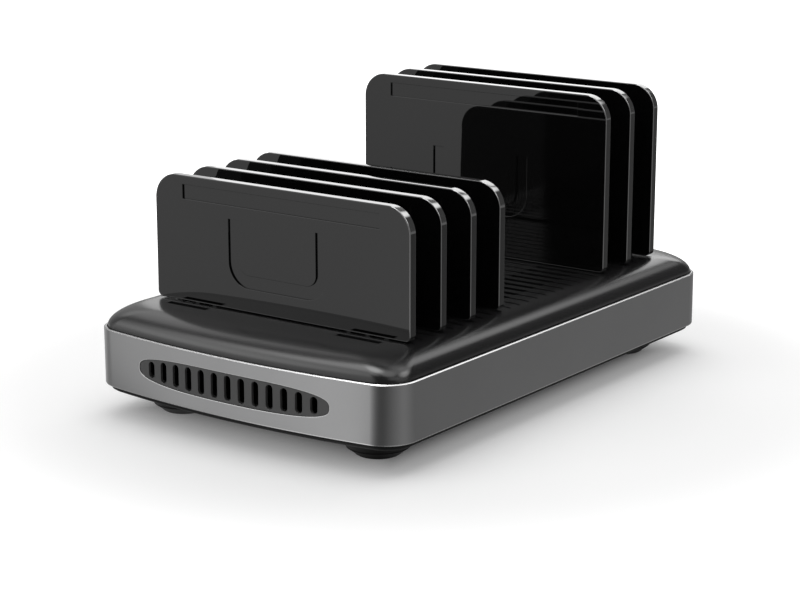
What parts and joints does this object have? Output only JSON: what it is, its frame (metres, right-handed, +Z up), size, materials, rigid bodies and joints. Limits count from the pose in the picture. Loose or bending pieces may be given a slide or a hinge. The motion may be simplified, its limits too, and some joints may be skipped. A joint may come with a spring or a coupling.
{
  "type": "usb charging station",
  "caption": "Desktop charging base with a metal band, a domed top with rows of sockets, upright lift-out dividers, a side row of USB sockets and a rear mains inlet and rocker switch.",
  "frame": {"origin": "on the ground under the middle of the base", "axes": "+Z up, +Y along the base from the vent end to the end with the mains inlet, -X towards the row of USB sockets"},
  "size_m": [0.1366, 0.22, 0.1088],
  "materials": {
    "band_metal": "satin, with a bright chamfer",
    "gloss_shell": "high gloss",
    "gloss_divider": "high gloss",
    "matte_shell": "fine texture",
    "grille_plastic": "matte",
    "bezel_plastic": "satin",
    "fitting_plastic": "matte",
    "pad_rubber": "matte",
    "port_steel": "bright plated",
    "screw_steel": "bright",
    "pin_brass": "bright",
    "circuit_board": "lacquered",
    "ferrite": "matte ceramic",
    "winding_tape": "film",
    "capacitor_sleeve": "shrunk sleeve",
    "copper_wire": "enamelled",
    "fuse_ceramic": "glazed",
    "heatsink_metal": "extruded",
    "brown_lead": "satin",
    "blue_lead": "satin",
    "red_lead": "satin",
    "black_lead": "satin"
  },
  "bodies": {
    "base": {"metal_band": "band_metal", "top_cover": "gloss_shell", "bottom_cover": "matte_shell", "vent_grille": "grille_plastic", "foot_front_left": "pad_rubber", "foot_front_right": "pad_rubber", "foot_back_left": "pad_rubber", "foot_back_right": "pad_rubber", "case_screw_front_left": "screw_steel", "case_screw_front_right": "screw_steel", "case_screw_back_left": "screw_steel", "case_screw_back_right": "screw_steel", "port_bezel": "bezel_plastic", "usb_port_01": "port_steel", "usb_port_02": "port_steel", "usb_port_03": "port_steel", "usb_port_04": "port_steel", "usb_port_05": "port_steel", "usb_port_06": "port_steel", "usb_port_07": "port_steel", "usb_port_08": "port_steel", "usb_port_09": "port_steel", "usb_port_10": "port_steel", "output_board": "circuit_board", "mains_board": "circuit_board", "mains_board_screw_1": "screw_steel", "mains_board_screw_2": "screw_steel", "mains_board_screw_3": "screw_steel", "mains_board_screw_4": "screw_steel", "output_board_screw_1": "screw_steel", "output_board_screw_2": "screw_steel", "transformer_core": "ferrite", "transformer_winding": "winding_tape", "bulk_capacitor_1": "capacitor_sleeve", "bulk_capacitor_2": "capacitor_sleeve", "output_capacitor_1": "capacitor_sleeve", "output_capacitor_2": "capacitor_sleeve", "film_capacitor": "winding_tape", "common_mode_choke": "copper_wire", "fuse": "fuse_ceramic", "primary_heatsink": "heatsink_metal", "secondary_heatsink": "heatsink_metal", "rear_panel": "bezel_plastic", "ac_inlet": "fitting_plastic", "inlet_pin_left": "pin_brass", "inlet_pin_right": "pin_brass", "switch_housing": "fitting_plastic", "live_lead": "brown_lead", "switched_lead": "brown_lead", "neutral_lead": "blue_lead", "dc_lead_positive": "red_lead", "dc_lead_negative": "black_lead"},
    "rocker": {"switch_rocker": "gloss_divider"},
    "short_divider_1": {"short_divider_1": "gloss_divider"},
    "short_divider_2": {"short_divider_2": "gloss_divider"},
    "short_divider_3": {"short_divider_3": "gloss_divider"},
    "short_divider_4": {"short_divider_4": "gloss_divider"},
    "tall_divider_1": {"tall_divider_1": "gloss_divider"},
    "tall_divider_2": {"tall_divider_2": "gloss_divider"},
    "tall_divider_3": {"tall_divider_3": "gloss_divider"}
  },
  "joints": [
    {"name": "rocker_tip", "type": "hinge", "parent": "base", "child": "rocker", "pos_m": [-0.014, 0.1064, 0.0218], "axis": [0, 0, 1], "range_deg": [0, 20]},
    {"name": "short_divider_1_lift", "type": "slide", "parent": "base", "child": "short_divider_1", "axis": [0, 0, 1], "range_m": [0, 0.055]},
    {"name": "short_divider_2_lift", "type": "slide", "parent": "base", "child": "short_divider_2", "axis": [0, 0, 1], "range_m": [0, 0.055]},
    {"name": "short_divider_3_lift", "type": "slide", "parent": "base", "child": "short_divider_3", "axis": [0, 0, 1], "range_m": [0, 0.055]},
    {"name": "short_divider_4_lift", "type": "slide", "parent": "base", "child": "short_divider_4", "axis": [0, 0, 1], "range_m": [0, 0.055]},
    {"name": "tall_divider_1_lift", "type": "slide", "parent": "base", "child": "tall_divider_1", "axis": [0, 0, 1], "range_m": [0, 0.078]},
    {"name": "tall_divider_2_lift", "type": "slide", "parent": "base", "child": "tall_divider_2", "axis": [0, 0, 1], "range_m": [0, 0.078]},
    {"name": "tall_divider_3_lift", "type": "slide", "parent": "base", "child": "tall_divider_3", "axis": [0, 0, 1], "range_m": [0, 0.078]}
  ]
}
